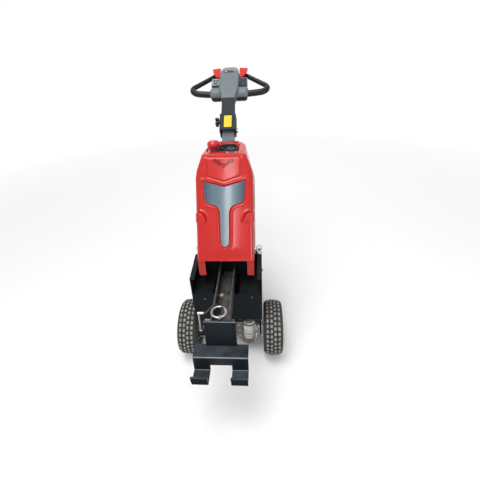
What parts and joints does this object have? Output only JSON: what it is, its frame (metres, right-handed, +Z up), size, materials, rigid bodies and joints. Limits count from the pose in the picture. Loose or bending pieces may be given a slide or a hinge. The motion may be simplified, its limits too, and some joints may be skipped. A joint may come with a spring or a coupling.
{
  "type": "pedestrian electric mini tug",
  "caption": "Walk-behind electric mini tug with pneumatic drive wheels, leaning cover, tilting tiller with handle loops, and a forked tow hook on a beam.",
  "frame": {"origin": "on the ground, under the middle of the part's box", "axes": "+Z up, +Y from the tow hook towards the operator, +X to the side of the gear case"},
  "size_m": [0.502, 1.1556, 1.2756],
  "materials": {
    "frame_black": "satin black powder coat, dusty",
    "beam_black": "satin black paint, scuffed edges",
    "hook_black": "satin black powder coat",
    "cover_red": "glossy red moulded plastic",
    "insert_blue_grey": "glossy blue-grey",
    "panel_black": "matt black plastic",
    "stop_red": "glossy red",
    "pin_steel": "bright zinc",
    "eye_white": "worn white paint",
    "axle_silver": "silver paint",
    "case_cast": "die-cast, matt",
    "motor_black": "black paint",
    "tyre": "black rubber, dusty tread",
    "rim_alloy": "machined and black",
    "caster_steel": "zinc",
    "caster_amber": "amber polyurethane",
    "column_grey": "blue-grey paint",
    "arm_grey": "dark grey textured paint",
    "head_grey": "grey moulded plastic",
    "handle_black": "black plastic, slight gloss",
    "throttle_red": "glossy red",
    "button_grey": "light grey buttons",
    "battery_grey": "dark grey case",
    "rope_black": "braided cord",
    "knob_orange": "orange ball"
  },
  "bodies": {
    "machine": {"frame_tub": "frame_black", "side_plate_left": "frame_black", "side_plate_right": "frame_black", "axle_brackets": "frame_black", "caster_beam": "frame_black", "battery": "battery_grey", "rear_casing": "panel_black", "cover": "cover_red", "cover_insert": "insert_blue_grey", "instrument_bay": "panel_black", "gauge": "panel_black", "emergency_stop": "stop_red", "back_plate": "frame_black", "tow_beam": "beam_black", "end_plate": "beam_black", "hook": "hook_black", "tow_pin": "pin_steel", "t_pin": "pin_steel", "release_rope": "rope_black", "lifting_eye_left": "eye_white", "lifting_eye_right": "eye_white", "axle_tube": "axle_silver", "gear_case": "case_cast", "motor": "motor_black", "brake_drum": "motor_black", "lock_lever_left": "knob_orange", "lock_lever_right": "knob_orange", "tiller_column": "column_grey"},
    "wheel_left": {"tyre_left": "tyre", "rim_left": "rim_alloy", "half_shaft_left": "pin_steel"},
    "wheel_right": {"tyre_right": "tyre", "rim_right": "rim_alloy", "half_shaft_right": "pin_steel"},
    "caster_left": {"caster_fork_left": "caster_steel"},
    "caster_left_roller": {"caster_wheel_left": "caster_amber"},
    "caster_right": {"caster_fork_right": "caster_steel"},
    "caster_right_roller": {"caster_wheel_right": "caster_amber"},
    "tiller": {"tiller_arm": "arm_grey", "hinge_bolt": "pin_steel", "clamp_knob": "handle_black", "head_shell": "head_grey", "head_rim": "handle_black", "handle_left": "handle_black", "handle_right": "handle_black", "throttle_left": "throttle_red", "throttle_right": "throttle_red", "button_panels": "button_grey"}
  },
  "joints": [
    {"name": "wheel_left_spin", "type": "hinge", "parent": "machine", "child": "wheel_left", "pos_m": [-0.205, -0.14976, 0.13], "axis": [1, 0, 0], "continuous": true},
    {"name": "wheel_right_spin", "type": "hinge", "parent": "machine", "child": "wheel_right", "pos_m": [0.205, -0.14976, 0.13], "axis": [1, 0, 0], "continuous": true},
    {"name": "caster_left_swivel", "type": "hinge", "parent": "machine", "child": "caster_left", "pos_m": [-0.121, 0.17224, 0.1], "axis": [0, 0, 1], "continuous": true},
    {"name": "caster_left_spin", "type": "hinge", "parent": "caster_left", "child": "caster_left_roller", "pos_m": [-0.121, 0.20624, 0.04], "axis": [1, 0, 0], "continuous": true},
    {"name": "caster_right_swivel", "type": "hinge", "parent": "machine", "child": "caster_right", "pos_m": [0.121, 0.17224, 0.1], "axis": [0, 0, 1], "continuous": true},
    {"name": "caster_right_spin", "type": "hinge", "parent": "caster_right", "child": "caster_right_roller", "pos_m": [0.121, 0.20624, 0.04], "axis": [1, 0, 0], "continuous": true},
    {"name": "tiller_tilt", "type": "hinge", "parent": "machine", "child": "tiller", "pos_m": [0, 0.27924, 1.006], "axis": [1, 0, 0], "range_deg": [-20, 30]}
  ]
}
